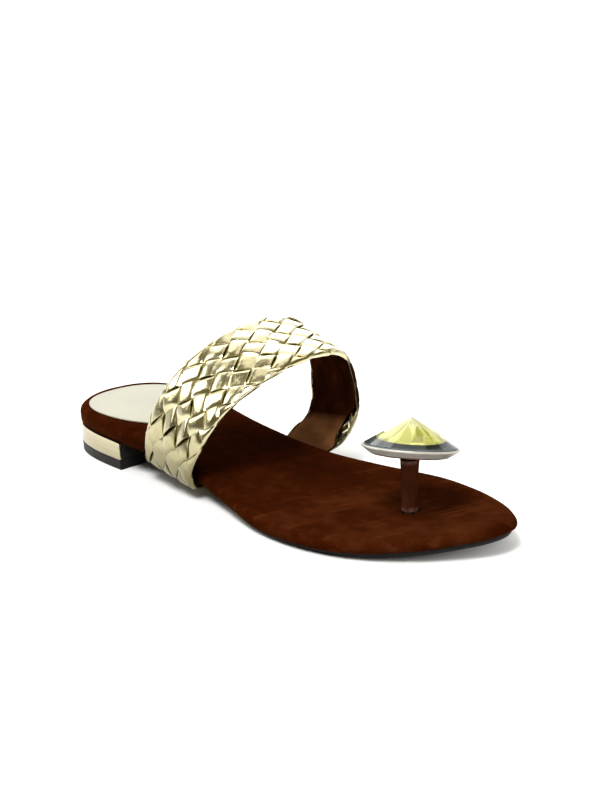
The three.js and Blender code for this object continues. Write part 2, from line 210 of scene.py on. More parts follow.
class SandalStage(bpy.types.PropertyGroup):
    """Camera, floor and lights."""

    aim: bpy.props.FloatVectorProperty(
        name="Aim", description="Point that the camera looks at",
        default=(-33.94 * MM, 44.21 * MM, 21.29 * MM), size=3, subtype="TRANSLATION",
    )
    azimuth: angle("Azimuth", "Camera's turn about the shoe", 47.76)
    elevation: angle("Elevation", "Camera's height as an angle", 16.41)
    roll: angle("Roll", "Camera's turn about its own line of sight", -2.8)
    distance: length("Distance", "Camera to aim", 682.67)
    lens: bpy.props.FloatProperty(
        name="Lens", description="Focal length in millimetres on a 36 mm tall frame", default=66.09,
    )
    key: power("Key", "Power of the key light", 23)
    top: power("Top", "Power of the top light", 3.5)
    side: power("Side", "Power of the side light", 8)
    fill: power("Fill", "Power of the front fill light", 3)
    back: power("Back", "Power of the back light", 15)


# Modelling helpers


def deselect_all():
    """Leaves nothing selected, so that an operator acts on one piece only."""
    for item in bpy.context.selected_objects:
        item.select_set(False)


def take_hold(piece):
    """Selects one piece and makes it the active one."""
    deselect_all()
    piece.select_set(True)
    bpy.context.view_layer.objects.active = piece
    return piece


@contextmanager
def edit_mode(piece, mode="FACE"):
    """Edit mode on one piece, with everything selected."""
    take_hold(piece)
    bpy.ops.object.mode_set(mode="EDIT")
    bpy.ops.mesh.select_mode(type=mode)
    bpy.ops.mesh.select_all(action="SELECT")
    yield
    bpy.ops.object.mode_set(mode="OBJECT")


def copy_of_node(node, name):
    """A copy of a CAD node with its loose triangles merged into one skin of quads."""
    piece = bpy.data.objects.new(name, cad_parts[node].data.copy())
    piece.data.name = name
    piece.data.materials.clear()
    bpy.context.scene.collection.objects.link(piece)
    with edit_mode(piece):
        bpy.ops.mesh.remove_doubles(threshold=1e-6)
        bpy.ops.mesh.customdata_custom_splitnormals_clear()
        bpy.ops.mesh.tris_convert_to_quads(
            face_threshold=math.radians(30), shape_threshold=math.radians(120))
    return piece


def mesh_piece(name, points, faces):
    """A new piece from points and faces, with its faces turned outwards."""
    mesh = bpy.data.meshes.new(name)
    mesh.from_pydata(points, [], faces)
    piece = bpy.data.objects.new(name, mesh)
    bpy.context.scene.collection.objects.link(piece)
    with edit_mode(piece):
        bpy.ops.mesh.normals_make_consistent(inside=False)
    return piece


def apply_modifier(piece, kind, **settings):
    """Adds one modifier and applies it."""
    take_hold(piece)
    modifier = piece.modifiers.new(kind.title(), kind)
    for name, value in settings.items():
        setattr(modifier, name, value)
    bpy.ops.object.modifier_apply(modifier=modifier.name)


def crease_sharp_edges(piece, bend):
    """Keeps edges that bend more than an angle sharp when the piece is subdivided."""
    with edit_mode(piece, "EDGE"):
        bpy.ops.mesh.select_all(action="DESELECT")
        bpy.ops.mesh.edges_select_sharp(sharpness=bend)
        bpy.ops.transform.edge_crease(value=1)


def shade_by_angle(piece, bend):
    """Smooth shading, with edges that bend more than an angle left sharp."""
    take_hold(piece)
    bpy.ops.object.shade_smooth_by_angle(angle=bend)


def finish_piece(piece, node, slot, *materials):
    """Puts a finished piece in its node's place, with its materials."""
    piece.data.materials.clear()
    for material in materials:
        piece.data.materials.append(material)
    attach(piece, "root")
    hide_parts(node)
    deselect_all()
    return piece


def rounded_copy(node, name, worn_edge):
    """A copy of a rigid node with a finer outline and softly worn edges."""
    piece = copy_of_node(node, name)
    crease_sharp_edges(piece, math.radians(32))
    apply_modifier(piece, "SUBSURF", levels=2, render_levels=2)
    apply_modifier(
        piece, "BEVEL", width=worn_edge, segments=2, limit_method="ANGLE", angle_limit=math.radians(40))
    shade_by_angle(piece, math.radians(38))
    return piece


# Material helpers


class NodeTree:
    """A tree of shader nodes under construction, over one kind of coordinates."""

    def __init__(self, tree, shader, coordinates):
        self.tree = tree
        self.shader = tree.nodes[shader]
        self.place = self.add("ShaderNodeTexCoord").outputs[coordinates]

    def add(self, kind, sockets=None, **settings):
        """A node with its settings, and its sockets set to values or joined to other sockets."""
        node = self.tree.nodes.new(kind)
        for name, value in settings.items():
            setattr(node, name, value)
        for name, value in (sockets or {}).items():
            self.feed(node.inputs[name], value)
        return node

    def feed(self, socket, value):
        """Joins a socket to another one, or gives it a value."""
        if isinstance(value, bpy.types.NodeSocket):
            self.tree.links.new(value, socket)
        else:
            socket.default_value = value

    def set(self, **values):
        """Sets the shader's own sockets, named with underscores for spaces."""
        for name, value in values.items():
            self.feed(self.shader.inputs[name.replace("_", " ")], value)

    def stretched(self, scale, turn=(0, 0, 0), shift=(0, 0, 0), vector=None):
        """The coordinates or another vector, stretched and then turned."""
        node = self.add("ShaderNodeMapping", {
            "Vector": vector or self.place, "Scale": scale, "Rotation": turn, "Location": shift})
        return node.outputs["Vector"]

    def noise(self, size, detail=2, roughness=0.5, vector=None):
        """Soft noise with patches of about a given size in metres."""
        node = self.add("ShaderNodeTexNoise", {
            "Vector": vector or self.place, "Scale": 1 / size, "Detail": detail, "Roughness": roughness})
        return node.outputs["Fac"]

    def cells(self, size):
        """Distance to scattered cells of about a given size in metres."""
        node = self.add("ShaderNodeTexVoronoi", {"Vector": self.place, "Scale": 1 / size})
        return node.outputs["Distance"]

    def ramp(self, value, stops):
        """A colour for each value, from stops of place and colour."""
        node = self.add("ShaderNodeValToRGB", {"Fac": value})
        elements = node.color_ramp.elements
        for stop, (at, tint) in enumerate(stops):
            element = elements[stop] if stop < 2 else elements.new(at)
            element.position = at
            element.color = tint
        return node.outputs["Color"]

    def span(self, value, low, high, to_low=0.0, to_high=1.0):
        """A value carried from one range to another, without passing its ends."""
        node = self.add("ShaderNodeMapRange", {
            "Value": value, "From Min": low, "From Max": high, "To Min": to_low, "To Max": to_high})
        return node.outputs["Result"]

    def mix(self, share, first, second, blend="MIX"):
        """Two colours mixed by a share."""
        node = self.add("ShaderNodeMix", data_type="RGBA", blend_type=blend)
        self.feed(node.inputs["Factor"], share)
        self.feed(node.inputs[6], first)
        self.feed(node.inputs[7], second)
        return node.outputs[2]

    def sum(self, first, second, operation="ADD"):
        """Two values added, or joined by another operation."""
        node = self.add("ShaderNodeMath", operation=operation)
        self.feed(node.inputs[0], first)
        self.feed(node.inputs[1], second)
        return node.outputs["Value"]

    def times(self, first, second):
        """Two values multiplied."""
        return self.sum(first, second, "MULTIPLY")

    def bump(self, height, depth, strength=1.0, below=None):
        """A relief of a given depth in metres, over another relief where there is one."""
        sockets = {"Height": height, "Distance": depth, "Strength": strength}
        if below is not None:
            sockets["Normal"] = below
        return self.add("ShaderNodeBump", sockets).outputs["Normal"]

    def attribute(self, name):
        """A number that the mesh carries."""
        return self.add("ShaderNodeAttribute", attribute_name=name).outputs["Fac"]

    def along(self, axis):
        """The coordinate along one axis."""
        return self.add("ShaderNodeSeparateXYZ", {"Vector": self.place}).outputs[axis]


def shaded(tint, share, lift=0.0):
    """A colour made darker or lighter by a share, and lifted towards white by an amount."""
    return [min(1, lift + share * part) for part in tint[:3]] + [1]


class Finish(NodeTree):
    """One material under construction: a Principled shader and the nodes that feed it."""

    def __init__(self, name):
        self.material = bpy.data.materials.new(name)
        self.material.use_nodes = True
        super().__init__(self.material.node_tree, "Principled BSDF", "Object")


# The way a hand last brushed the suede and the way its nap lies, from the toe's direction
STROKE_ANGLE = math.radians(69.5)
NAP_ANGLE = math.radians(48)
# How much the strap's front edge runs forward with height, and the line of its inner bend rises forward
FRONT_EDGE_LEAN = 0.065
BEND_SLOPE = 0.17


def suede_finish(colours):
    """Brown suede: blotches where the nap lies differently, brush marks and a fine nap, with painted shade
    from the heel to the middle of the foot, painted light lifting it a little towards the toe, and painted
    light at the heel's back.
    """
    finish = Finish("brown_suede")
    blotches = finish.noise(34 * MM, detail=5, roughness=0.62)
    mottle = finish.noise(7 * MM, detail=4, roughness=0.6)
    brushed = finish.stretched((0.22, 1.0, 1.0), turn=(0, 0, -NAP_ANGLE))
    strokes = finish.noise(6 * MM, detail=3, roughness=0.65, vector=brushed)
    nap = finish.noise(0.5 * MM, detail=3, roughness=0.7)
    tone = finish.sum(finish.times(blotches, 0.55), finish.times(mottle, 0.25))
    tone = finish.sum(tone, finish.times(strokes, 0.2))
    forward = finish.along("X")
    # Painted shade: the suede is darkened from the heel up to the middle of the foot, and painted light
    # lifts it a little towards the toe
    tone = finish.sum(tone, finish.span(forward, 5 * MM, 80 * MM, -0.07, 0.03))
    # Painted light: the suede is lightened at the heel's back end
    tone = finish.sum(tone, finish.span(forward, -115 * MM, -60 * MM, 0.10, 0.0))
    across = finish.stretched((1, 1, 1), turn=(0, 0, -STROKE_ANGLE))
    swept = finish.noise(4 * MM, detail=3, vector=finish.stretched((0.16, 1, 1), vector=across))
    tone = finish.sum(tone, finish.span(swept, 0.58, 0.74, 0.0, 0.13))
    body = finish.ramp(tone, [
        (0.36, colours.suede_dark_nap_and_painted_shade), (0.66, colours.suede_light_nap_and_painted_light), (0.5, colours.suede)])
    speckle = finish.ramp(nap, [(0.3, (0.72, 0.70, 0.68, 1)), (0.72, (1.25, 1.25, 1.25, 1))])
    relief = finish.bump(nap, 0.22 * MM, 0.5)
    relief = finish.bump(mottle, 0.5 * MM, 0.25, relief)
    finish.set(Base_Color=finish.mix(1.0, body, speckle, "MULTIPLY"), Normal=relief)
    finish.set(Roughness=0.95, Specular_IOR_Level=0.0, Sheen_Weight=0.05, Sheen_Roughness=0.3)
    finish.set(Sheen_Tint=(0.9, 0.48, 0.18, 1))
    return finish.material


def gold_leather_finish(colours):
    """Gold foiled leather: bright, a little rubbed, with a fine grain and a soft unevenness, and darkened
    towards the strap's bottom as painted shade.
    """
    finish = Finish("gold_leather")
    tone = finish.attribute("tone")
    rubbed = finish.noise(5 * MM, detail=5, roughness=0.65)
    share = finish.span(finish.sum(rubbed, finish.times(tone, 0.35)), 0.42, 0.95)
    grain = finish.cells(0.55 * MM)
    uneven = finish.noise(7 * MM, detail=2, roughness=0.4)
    relief = finish.bump(grain, 0.035 * MM, 0.35)
    relief = finish.bump(uneven, 0.9 * MM, 0.5, relief)
    foil = finish.mix(share, colours.gold, colours.gold_worn)
    cut = finish.attribute("cut")
    raw = finish.span(cut, 0.25, 0.8)
    height = finish.along("Z")
    # Painted shade: the foil is darkened towards the bottom of the strap
    painted_shade_low = finish.ramp(
        finish.span(height, 8 * MM, 50 * MM), [(0.0, (0.29, 0.275, 0.20, 1)), (1.0, (1, 1, 1, 1))])
    foil = finish.mix(1.0, foil, painted_shade_low, "MULTIPLY")
    # On the inner side the lining is cut flush with the strap's front edge and shows along it
    forward = finish.along("X")
    from_edge = finish.sum(forward, finish.times(height, FRONT_EDGE_LEAN), "SUBTRACT")
    flush = finish.times(
        finish.span(from_edge, 9.9 * MM, 10.7 * MM), finish.span(finish.along("Y"), 28 * MM, 31 * MM))
    flush = finish.times(flush, finish.span(height, 19 * MM, 22 * MM))
    tint = finish.mix(flush, finish.mix(raw, foil, colours.raw_edge), colours.lining)
    raw = finish.sum(raw, flush, "MAXIMUM")
    finish.set(Base_Color=tint, Normal=relief)
    finish.set(
        Roughness=finish.span(rubbed, 0.3, 0.75, 0.15, 0.25), Metallic=finish.span(raw, 0, 1, 1, 0.2))
    finish.set(Specular_IOR_Level=finish.span(flush, 0, 1, 0.5, 0))
    finish.set(Coat_Weight=finish.span(flush, 0, 1, 0.12, 0), Coat_Roughness=0.25)
    return finish.material


def lining_finish(colours):
    """Dark brown lining leather, paler where the strap bends in under the foot: partly a paler leather,
    partly painted light where that part faces up.
    """
    finish = Finish("lining_leather")
    body = finish.noise(9 * MM, detail=4)
    pores = finish.cells(0.7 * MM)
    deep, lit = shaded(colours.lining, 0.55), shaded(colours.lining, 1.9)
    relief = finish.bump(pores, 0.05 * MM, 0.5)
    relief = finish.bump(body, 0.5 * MM, 0.3, relief)
    leather = finish.ramp(body, [(0.3, deep), (0.75, lit), (0.5, colours.lining)])
    # Painted light over a paler leather: the lining turns paler below its inner bend, where it faces up
    over_bend = finish.sum(finish.along("Z"), finish.times(finish.along("X"), BEND_SLOPE), "SUBTRACT")
    pale_and_painted_light_share = finish.span(over_bend, 18.5 * MM, 22.5 * MM, 1.0, 0.0)
    rubbed = finish.ramp(body, [(0.3, shaded(colours.lining_pale_and_painted_light, 0.6)), (0.7, colours.lining_pale_and_painted_light)])
    finish.set(Base_Color=finish.mix(pale_and_painted_light_share, leather, rubbed), Normal=relief)
    finish.set(Roughness=finish.span(body, 0.3, 0.7, 0.5, 0.65), Specular_IOR_Level=0.0)
    return finish.material


def heel_pad_finish(colours):
    """Smooth cream leather with a faint grain and patches of a warmer tone."""
    finish = Finish("cream_leather")
    body = finish.noise(16 * MM, detail=4)
    grain = finish.cells(0.6 * MM)
    warm = [colours.pad[0] * 0.95, colours.pad[1] * 0.93, colours.pad[2] * 0.84, 1]
    finish.set(
        Base_Color=finish.ramp(body, [(0.3, warm), (0.7, colours.pad)]),
        Normal=finish.bump(grain, 0.03 * MM, 0.3))
    finish.set(Roughness=finish.span(body, 0.3, 0.7, 0.42, 0.55), Specular_IOR_Level=0.4)
    return finish.material


def heel_band_finish(colours):
    """Pale gold plate, brushed along and slightly wavy."""
    finish = Finish("gold_plate")
    brushed = finish.noise(1.2 * MM, detail=3, vector=finish.stretched((0.06, 0.06, 1.6)))
    waves = finish.noise(14 * MM, detail=2)
    shade = shaded(colours.band, 0.88)
    relief = finish.bump(waves, 0.25 * MM, 0.4)
    finish.set(Base_Color=finish.ramp(brushed, [(0.3, shade), (0.7, colours.band)]), Normal=relief)
    finish.set(Roughness=finish.span(brushed, 0.3, 0.7, 0.16, 0.26), Metallic=1.0)
    return finish.material


def black_finish(name, colours, gloss, grain_size):
    """Black sole stuff: slightly greyed by rubbing, with a fine moulded grain."""
    finish = Finish(name)
    dust = finish.noise(11 * MM, detail=6, roughness=0.7)
    grain = finish.noise(grain_size, detail=3, roughness=0.7)
    greyed = shaded(colours.black, 1.6, 0.003)
    finish.set(
        Base_Color=finish.ramp(dust, [(0.35, colours.black), (0.75, greyed)]),
        Normal=finish.bump(grain, 0.08 * MM, 0.4))
    finish.set(Roughness=finish.span(dust, 0.3, 0.7, gloss, gloss + 0.16), Specular_IOR_Level=0.12)
    return finish.material


def toe_post_finish(colours):
    """Dark brown leather wrapped round the post, paler in patches at its head and at its turned-out foot,
    where the paling is painted light on the flare's upper face.
    """
    finish = Finish("post_leather")
    body = finish.noise(2.2 * MM, detail=5, vector=finish.stretched((1, 1, 0.4)))
    height = finish.along("Z")
    # Painted light: the turned-out foot is paled where its flare faces up
    foot = finish.span(height, 9.2 * MM, 10.6 * MM, 1.0, 0.0)
    head = finish.span(height, 27.4 * MM, 28.6 * MM)
    pale = shaded(colours.post, 1.3, 0.05)
    leather = finish.ramp(body, [(0.3, shaded(colours.post, 0.7)), (0.72, colours.post)])
    share = finish.times(finish.sum(foot, head), finish.span(body, 0.35, 0.65))
    finish.set(Base_Color=finish.mix(share, leather, pale), Normal=finish.bump(body, 0.25 * MM, 0.4))
    finish.set(Roughness=0.7, Specular_IOR_Level=0.0)
    return finish.material


def cup_finish(colours):
    """Pale champagne plate of the stone's cup."""
    finish = Finish("champagne_plate")
    body = finish.noise(3 * MM, detail=4)
    finish.set(
        Base_Color=finish.ramp(body, [(0.3, shaded(colours.cup, 0.8)), (0.7, colours.cup)]),
        Normal=finish.bump(body, 0.12 * MM, 0.3))
    finish.set(Roughness=finish.span(body, 0.3, 0.7, 0.3, 0.45), Metallic=0.4)
    return finish.material


def clear_stone_finish():
    """The stone's clear outer cut."""
    finish = Finish("clear_stone")
    scratches = finish.noise(1.5 * MM, detail=3, vector=finish.stretched((0.1, 1, 1)))
    finish.set(Base_Color=(0.97, 0.97, 0.93, 1), Roughness=finish.span(scratches, 0.3, 0.8, 0.0, 0.03))
    finish.set(Transmission_Weight=1.0, IOR=1.45)
    return finish.material


def stone_heart_finish(colours):
    """The lemon foil inside the stone: each facet of its own tone, paler towards the point."""
    finish = Finish("stone_heart")
    from_axis = finish.attribute("from_axis")
    facet = finish.attribute("facet")
    pale = shaded(colours.stone, 0.45, 0.55)
    foil = finish.ramp(from_axis, [(0.05, pale), (0.5, colours.stone)])
    tones = finish.ramp(facet, [
        (0.1, (0.62, 0.60, 0.42, 1)), (0.8, (1.1, 1.1, 1.05, 1)), (0.3, (0.92, 0.92, 0.85, 1))])
    finish.set(Base_Color=finish.mix(1.0, foil, tones, "MULTIPLY"), Roughness=0.2, Metallic=0.25)
    return finish.material


def stone_back_finish(colours):
    """Steel-grey foil behind the stone's clear rim."""
    finish = Finish("stone_back")
    body = finish.noise(4 * MM, detail=3)
    finish.set(
        Base_Color=finish.ramp(body, [(0.3, shaded(colours.stone_back, 0.75)), (0.7, colours.stone_back)]),
        Roughness=0.45)
    return finish.material


# The strap's form


def curve_point(points, share):
    """A point of the smooth curve through some points, on the spacing that the frame's strap has."""
    last = len(points) - 1
    i = min(int(share * last), last - 1)
    w = share * last - i
    p1, p2 = points[i], points[i + 1]
    p0 = points[i - 1] if i > 0 else 2 * p1 - p2
    p3 = points[i + 2] if i + 2 <= last else 2 * p2 - p1
    d0, d1, d2 = (math.sqrt((b - a).length) for a, b in ((p0, p1), (p1, p2), (p2, p3)))
    m1 = ((p1 - p0) / d0 - (p2 - p0) / (d0 + d1) + (p2 - p1) / d1) * d1
    m2 = ((p2 - p1) / d1 - (p3 - p1) / (d1 + d2) + (p3 - p2) / d2) * d1
    return p1 + m1 * w + (3 * (p2 - p1) - 2 * m1 - m2) * w ** 2 + (2 * (p1 - p2) + m1 + m2) * w ** 3


def even_curve(points, count, reach):
    """Points evenly spaced along the smooth curve through some points, over a share of its length."""
    rough = [curve_point(points, k / count) for k in range(count + 1)]
    lengths = [0.0]
    for a, b in zip(rough, rough[1:]):
        lengths.append(lengths[-1] + (b - a).length)
    even, k = [], 0
    for step in range(count + 1):
        wanted = reach * lengths[-1] * step / count
        while k < count - 1 and lengths[k + 1] < wanted:
            k += 1
        share = (wanted - lengths[k]) / (lengths[k + 1] - lengths[k])
        even.append(rough[k].lerp(rough[k + 1], min(1, max(0, share))))
    return even


class StrapForm:
    """The strap's outer surface, on the braid's own grid of columns u across it and rows v along it."""

    def __init__(self, sizes):
        origin = Vector((HEEL_BACK, CENTRE_LINE, 0))
        edge = lambda side: [origin + MM * Vector(row[side]) for row in STRAP]
        self.back = even_curve(edge("back"), STRAP_SAMPLES, BACK_REACH)
        self.front = even_curve(edge("front"), STRAP_SAMPLES, FRONT_REACH)
        self.strips, self.rows, self.fold = sizes.strips, sizes.rows, sizes.fold_radius
        self.low, self.high = sizes.first_strip, sizes.first_strip + sizes.strips
        self.first = (ROW_STRETCH * LONG_ROWS - ROW_SHIFT) / (1 + ROW_STRETCH)
        self.last = self.rows - ROW_SHIFT

    def length_at(self, v):
        """Distance of a row from the strap's outer end, in even rows."""
        return v + ROW_SHIFT - ROW_STRETCH * max(0, LONG_ROWS - v)

    def edge_point(self, edge, v):
        at = min(max(self.length_at(v) / self.rows, 0), 1) * STRAP_SAMPLES
        k = min(int(at), STRAP_SAMPLES - 1)
        return edge[k].lerp(edge[k + 1], at - k)

    def surface(self, u, v):
        share = (u - self.low) / self.strips
        return self.edge_point(self.back, v).lerp(self.edge_point(self.front, v), share)

    def point(self, u, v, height):
        """A point off the surface by a height along its outward normal, carried round the edges' folds."""
        nudge = 0.1
        middle = min(max(v, self.first + nudge), self.last - nudge)
        across = self.edge_point(self.front, v) - self.edge_point(self.back, v)
        width = across.length / self.strips
        inset = self.fold / width
        level = min(max(u, self.low + inset), self.high - inset)
        along = self.surface(level, middle + nudge) - self.surface(level, middle - nudge)
        outward = across.cross(along).normalized()
        beyond = (u - level) * width
        turn = FOLD_TURN * math.tanh(beyond / (self.fold * FOLD_TURN))
        reach = self.fold + height
        sideways = across.normalized() * reach * math.sin(turn)
        return self.surface(level, v) + outward * (reach * math.cos(turn) - self.fold) + sideways

    def relief(self, u, v):
        """How far the braid stands proud: 1 over the instep, little at its edges, and 0 at its ends."""
        place = self.length_at(v)
        end = min(1, max(0, min(place, self.rows - place) / FLAT_ROWS))
        edge = min(1, max(0, min(u - self.low, self.high - u) / EDGE_SOFT))
        ease = lambda t: t * t * (3 - 2 * t)
        return ease(end) * (EDGE_RELIEF + (1 - EDGE_RELIEF) * ease(edge))


class Strip:
    """One strip of the braid where it passes over, as a closed skin over cross-sections."""

    def __init__(self, form, sizes, column, row, chance):
        self.form, self.sizes, self.column, self.row = form, sizes, column, row
        tilt = sizes.strip_tilt * (LOOSE_TILT if row <= LONG_ROWS else 1.0)
        self.tip = [chance.uniform(-1, 1) * tilt for _ in range(2)]
        self.bow = chance.uniform(-0.12, 0.24) * MM
        self.lift = chance.uniform(-0.06, 0.10) * MM
        self.tone = chance.random()

    def top(self, along, across, u, v, drop):
        """Height of the strip's face, along its run and across it, each from -1 to 1."""
        arch = max(STRIP_DIVE, 1 - abs(along) ** STRIP_CURVE)
        relief = self.form.relief(u, v)
        bowed = self.bow * (1 - across * across)
        tipped = (self.tip[0] * across + self.tip[1] * along + bowed + self.lift) * max(0, arch)
        return self.sizes.strip_low + relief * (self.sizes.strip_rise * arch + tipped - drop * MM)

    def section(self, spots):
        """A closed loop around the strip: its face from side to side, then its underside back."""
        belly = [min(spots, key=lambda spot: abs(spot["share"] - share)) for share in STRIP_BELLY]
        thickness = self.sizes.strip_thickness
        face = [self.form.point(s["u"], s["v"], s["height"]) for s in spots]
        return face + [self.form.point(s["u"], s["v"], s["height"] - thickness) for s in belly]

    def sections(self):
        """The strip's loops: it rises from under one neighbour and dives under the next."""
        sections = []
        for step in range(STRIP_STEPS + 1):
            along = STRIP_TUCK * (2 * step / STRIP_STEPS - 1)
            spots = []
            for share, drop in STRIP_PROFILE:
                across = share * self.sizes.strip_fill
                s, t = (along, across) if self.column % 2 else (across, along)
                u, v = self.column + (s + t) / 2, self.row + (s - t) / 2
                height = self.top(along, across, u, v, drop)
                spots.append({"share": share, "u": u, "v": v, "height": height})
            sections.append(self.section(spots))
        return sections

    def cut_edges(self):
        """1 at a section's raw cut sides and underside, and 0 on its foiled faces."""
        belly = float(self.row < FOILED_ROWS)
        return [float(abs(share) == 1) for share, _ in STRIP_PROFILE] + [belly] * len(STRIP_BELLY)


def skin_sections(sections, points, faces):
    """Adds a closed skin over loops of equal length, capped at both ends."""
    first, count = len(points), len(sections[0])
    for loop in sections:
        points.extend(loop)
    for ring in range(len(sections) - 1):
        for k in range(count):
            here, side = first + ring * count + k, first + ring * count + (k + 1) % count
            faces.append((here, side, side + count, here + count))
    faces.append(tuple(range(first, first + count)))
    last = first + (len(sections) - 1) * count
    faces.append(tuple(range(last, last + count)))


# Operators


class SANDAL_OT_footbed(bpy.types.Operator):
    """Makes the suede-covered footbed, with a soft wrapped edge"""

    bl_idname = "sandal.footbed"
    bl_label = "Footbed"

    def execute(self, context):
        sizes = context.scene.sandal_sizes
        piece = copy_of_node("footbed", "suede_footbed")
        apply_modifier(piece, "REMESH", mode="VOXEL", voxel_size=sizes.suede_grid, use_smooth_shade=True)
        upper = piece.vertex_groups.new(name="upper")
        for vertex in piece.data.vertices:
            upper.add([vertex.index], min(1, max(0, 0.5 + 2 * vertex.normal.z)), "REPLACE")
        apply_modifier(
            piece, "SMOOTH", factor=0.5, iterations=sizes.suede_softness, vertex_group=upper.name)
        finish_piece(piece, "footbed", "brown_suede", suede_finish(context.scene.sandal_colours))
        return {"FINISHED"}


class SANDAL_OT_heel_pad(bpy.types.Operator):
    """Makes the cream heel pad, laid on the footbed"""

    bl_idname = "sandal.heel_pad"
    bl_label = "Heel Pad"

    OVAL_POWER = 2.3

    def execute(self, context):
        sizes = context.scene.sandal_sizes
        half = (PAD_HIGH - PAD_LOW) / 2
        trim = sizes.pad_trim / 2
        deselect_all()
        bpy.ops.mesh.primitive_circle_add(vertices=160, radius=1, fill_type="NOTHING")
        piece = context.object
        piece.name = "heel_pad"
        oval = lambda value: math.copysign(abs(value) ** (2 / self.OVAL_POWER), value)
        for vertex in piece.data.vertices:
            x, y = oval(vertex.co.x) * (half.x - trim), oval(vertex.co.y) * half.y
            vertex.co = (PAD_MIDDLE.x + trim + x, PAD_MIDDLE.y + y, PAD_HIGH.z + 5 * MM)
        with edit_mode(piece, "EDGE"):
            bpy.ops.mesh.fill_grid(span=40)
            bpy.ops.mesh.normals_make_consistent(inside=False)
        apply_modifier(
            piece, "SHRINKWRAP", target=bpy.data.objects["suede_footbed"], wrap_method="PROJECT",
            use_project_z=True, use_positive_direction=False, use_negative_direction=True,
            offset=0.05 * MM)
        apply_modifier(piece, "SOLIDIFY", thickness=sizes.pad_thickness, offset=1)
        apply_modifier(
            piece, "BEVEL", width=0.3 * sizes.pad_thickness, segments=3, limit_method="ANGLE",
            angle_limit=math.radians(50))
        shade_by_angle(piece, math.radians(60))
        finish_piece(piece, "heel_sock", "sock_cream", heel_pad_finish(context.scene.sandal_colours))
        return {"FINISHED"}


class SANDAL_OT_sole(bpy.types.Operator):
    """Makes the black outsole, heel block and top lift"""

    bl_idname = "sandal.sole"
    bl_label = "Sole and Heel"

    def execute(self, context):
        colours = context.scene.sandal_colours
        worn = context.scene.sandal_sizes.worn_edge
        for node, name, slot, gloss, grain in (
            ("outsole", "sole_unit", "outsole_black", 0.5, 0.8 * MM),
            ("heel_block", "heel_stack", "heel_black", 0.5, 0.6 * MM),
            ("top_lift", "heel_lift", "lift_black", 0.36, 0.5 * MM),
        ):
            piece = rounded_copy(node, name, worn)
            finish_piece(piece, node, slot, black_finish(slot, colours, gloss, grain))
        return {"FINISHED"}


class SANDAL_OT_heel_band(bpy.types.Operator):
    """Makes the pale gold shell round the heel"""

    bl_idname = "sandal.heel_band"
    bl_label = "Heel Band"

    def execute(self, context):
        piece = rounded_copy("heel_band", "heel_shell", 0.6 * context.scene.sandal_sizes.worn_edge)
        finish_piece(piece, "heel_band", "heel_gold", heel_band_finish(context.scene.sandal_colours))
        return {"FINISHED"}


class SANDAL_OT_braid(bpy.types.Operator):
    """Makes the strap's braid, strip by strip, as one mesh"""

    bl_idname = "sandal.braid"
    bl_label = "Braided Strap"

    def execute(self, context):
        sizes = context.scene.sandal_sizes
        form = StrapForm(sizes)
        chance = random.Random(11)
        points, faces, tones, cut = [], [], [], []
        for column in range(math.floor(form.low), math.ceil(form.high) + 1):
            for row in range(math.ceil(form.first) + column % 2, math.ceil(form.last), 2):
                strip = Strip(form, sizes, column, row, chance)
                sections = strip.sections()
                skin_sections(sections, points, faces)
                tones.extend([strip.tone] * (len(points) - len(tones)))
                cut.extend(strip.cut_edges() * len(sections))
        piece = mesh_piece("braid", points, faces)
        piece.data.attributes.new("tone", "FLOAT", "POINT").data.foreach_set("value", tones)
        piece.data.attributes.new("cut", "FLOAT", "POINT").data.foreach_set("value", cut)
        shade_by_angle(piece, math.radians(50))
        finish_piece(piece, "strap", "gold_leather", gold_leather_finish(context.scene.sandal_colours))
        return {"FINISHED"}


class SANDAL_OT_lining(bpy.types.Operator):
    """Makes the brown leather lining under the braid, with a few soft creases across it"""

    bl_idname = "sandal.lining"
    bl_label = "Strap Lining"

    STEPS_ACROSS = 18
    STEPS_ALONG = 180
    # Columns of braid left bare at each edge
    MARGIN = 0.30
    # The braid is turned in further over the lining's front edge where the strap bends in under the foot
    TURN_IN = {"row": 24.5, "width": 1.3, "columns": 1.15}
    CREASES = [
        {"row": 18.3, "width": 0.35, "depth": 0.30},
        {"row": 19.6, "width": 0.3, "depth": 0.22},
        {"row": 22.4, "width": 0.4, "depth": 0.34},
        {"row": 9.8, "width": 0.4, "depth": 0.2},
    ]

    def turned_in(self, v):
        """How many columns of braid are turned in over the front edge at a row."""
        off = (v - self.TURN_IN["row"]) / self.TURN_IN["width"]
        return self.TURN_IN["columns"] * math.exp(-off ** 4)

    def crease(self, u, v):
        """How far the lining buckles inwards at a place."""
        wander = 0.35 * math.sin(1.3 * u)
        depth = 0.0
        for crease in self.CREASES:
            off = (v + wander - crease["row"]) / crease["width"]
            depth += crease["depth"] * math.exp(-off ** 2)
        return MM * depth

    def execute(self, context):
        sizes = context.scene.sandal_sizes
        form = StrapForm(sizes)
        low = form.low + self.MARGIN
        points, faces, sections = [], [], []
        for step in range(self.STEPS_ALONG + 1):
            v = form.first + (form.last - form.first) * step / self.STEPS_ALONG
            high = form.high - self.MARGIN - self.turned_in(v)
            places = [low + (high - low) * k / self.STEPS_ACROSS for k in range(self.STEPS_ACROSS + 1)]
            inner = [form.point(u, v, sizes.lining_face - self.crease(u, v)) for u in places]
            outer = [form.point(u, v, sizes.lining_face + sizes.lining_thickness) for u in places]
            sections.append(inner + outer[::-1])
        skin_sections(sections, points, faces)
        piece = mesh_piece("strap_lining", points, faces)
        shade_by_angle(piece, math.radians(50))
        finish_piece(piece, "strap", "gold_leather", lining_finish(context.scene.sandal_colours))
        return {"FINISHED"}


